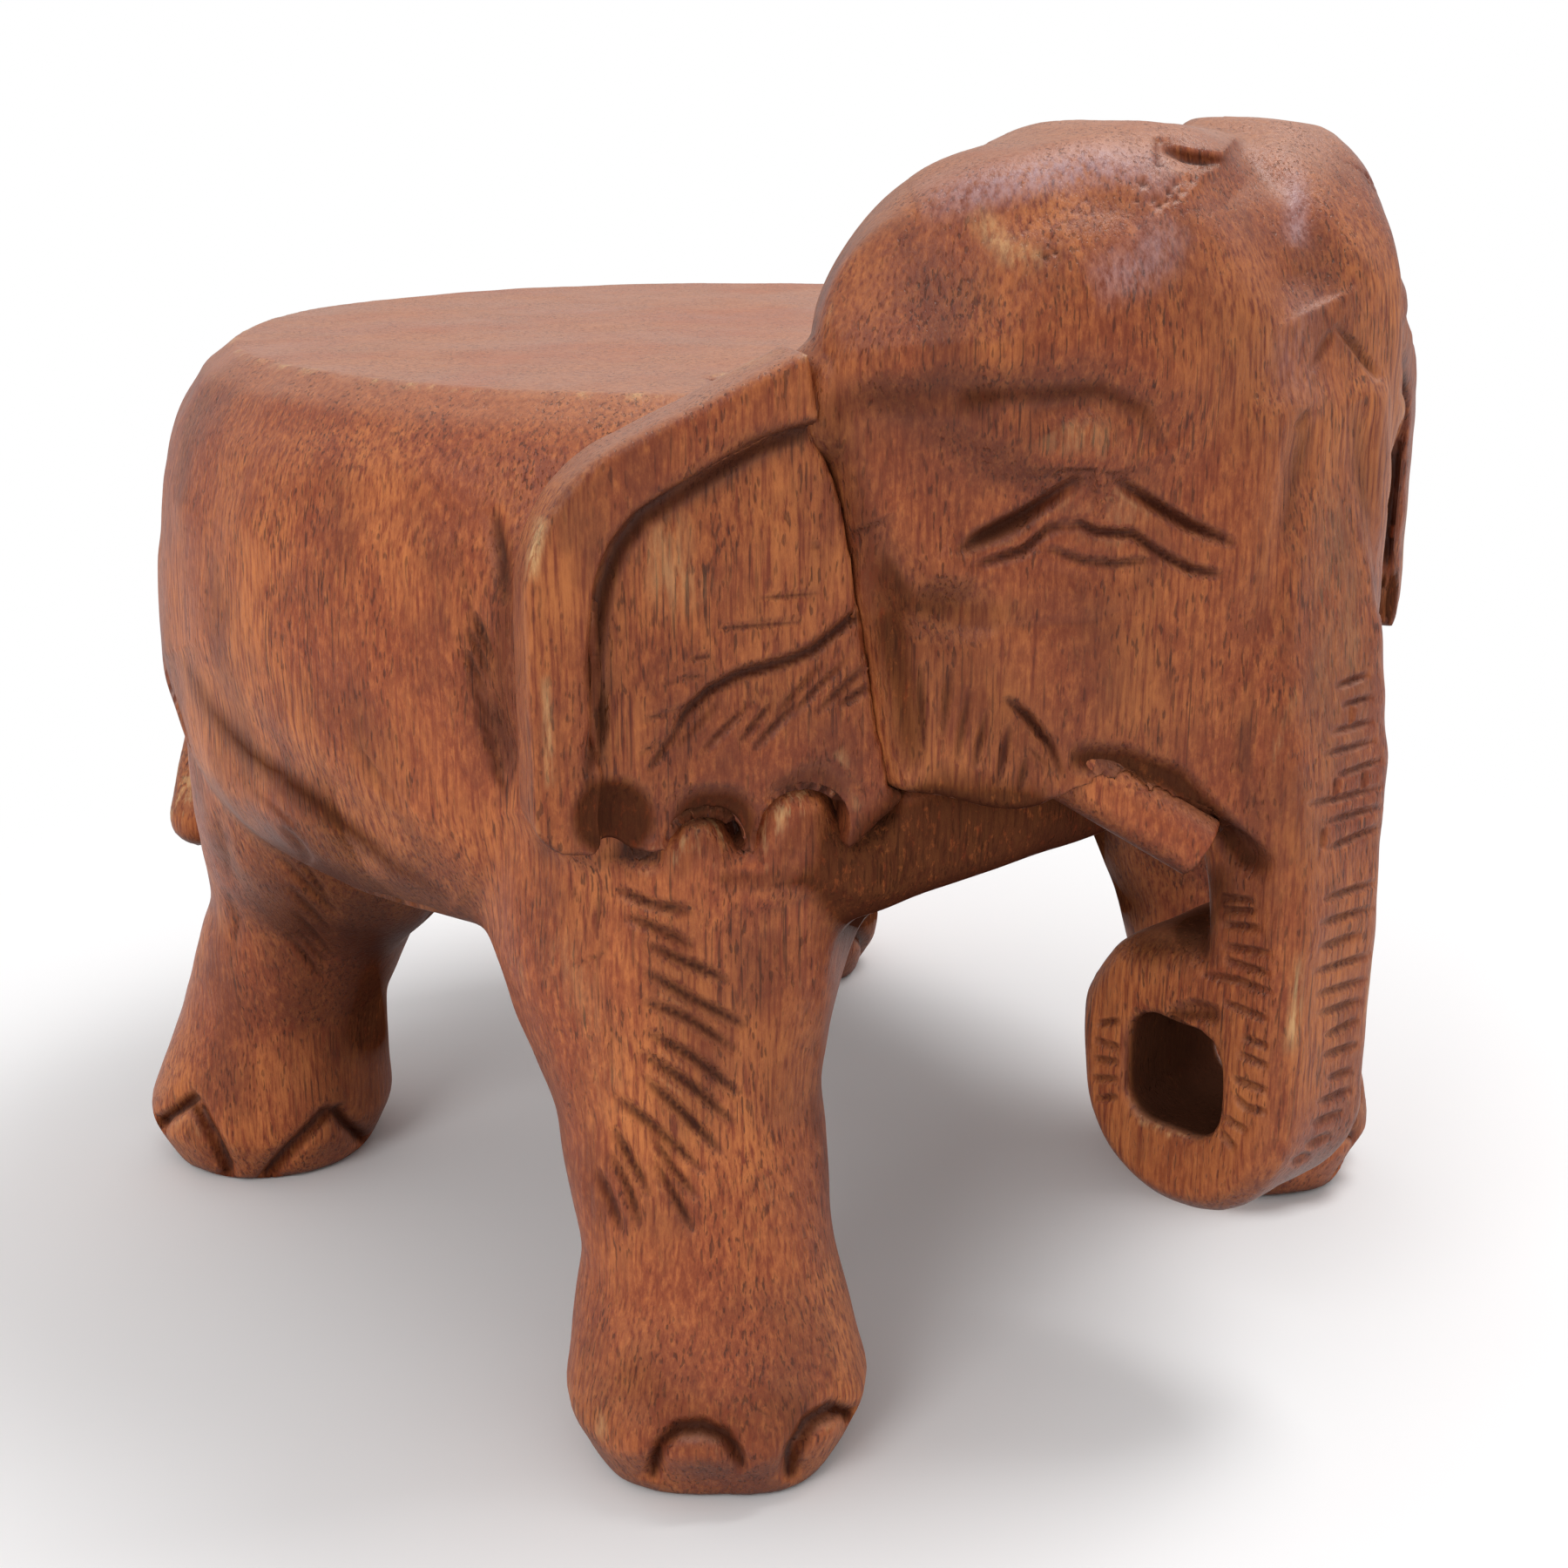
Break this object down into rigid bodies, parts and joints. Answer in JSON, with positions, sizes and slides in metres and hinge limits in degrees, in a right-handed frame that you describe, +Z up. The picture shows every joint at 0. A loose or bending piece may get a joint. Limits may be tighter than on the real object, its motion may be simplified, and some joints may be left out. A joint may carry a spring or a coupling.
{
  "type": "carved elephant stool",
  "caption": "Low wooden stool carved as a standing elephant, with a round flat seat on its back, applied ears and tusks, and a curled trunk.",
  "frame": {"origin": "on the floor, under the middle of the overall box", "axes": "+Z up; the elephant faces -Y; +X is the elephant's own left"},
  "size_m": [0.316, 0.354, 0.2991],
  "materials": {
    "body_wood": "red-brown stain under wax, satin",
    "head_wood": "red-brown stain under wax, satin",
    "ear_wood": "red-brown stain under wax, satin, worn pale on the edges",
    "tusk_wood": "red-brown stain under wax, satin",
    "dowel_wood": "plain turned hardwood, unfinished"
  },
  "bodies": {
    "root": {"body_block": "body_wood", "head_and_trunk": "head_wood", "left_ear": "ear_wood", "right_ear": "ear_wood", "left_tusk": "tusk_wood", "right_tusk": "tusk_wood", "head_dowels": "dowel_wood", "left_ear_dowels": "dowel_wood", "right_ear_dowels": "dowel_wood"}
  },
  "joints": []
}
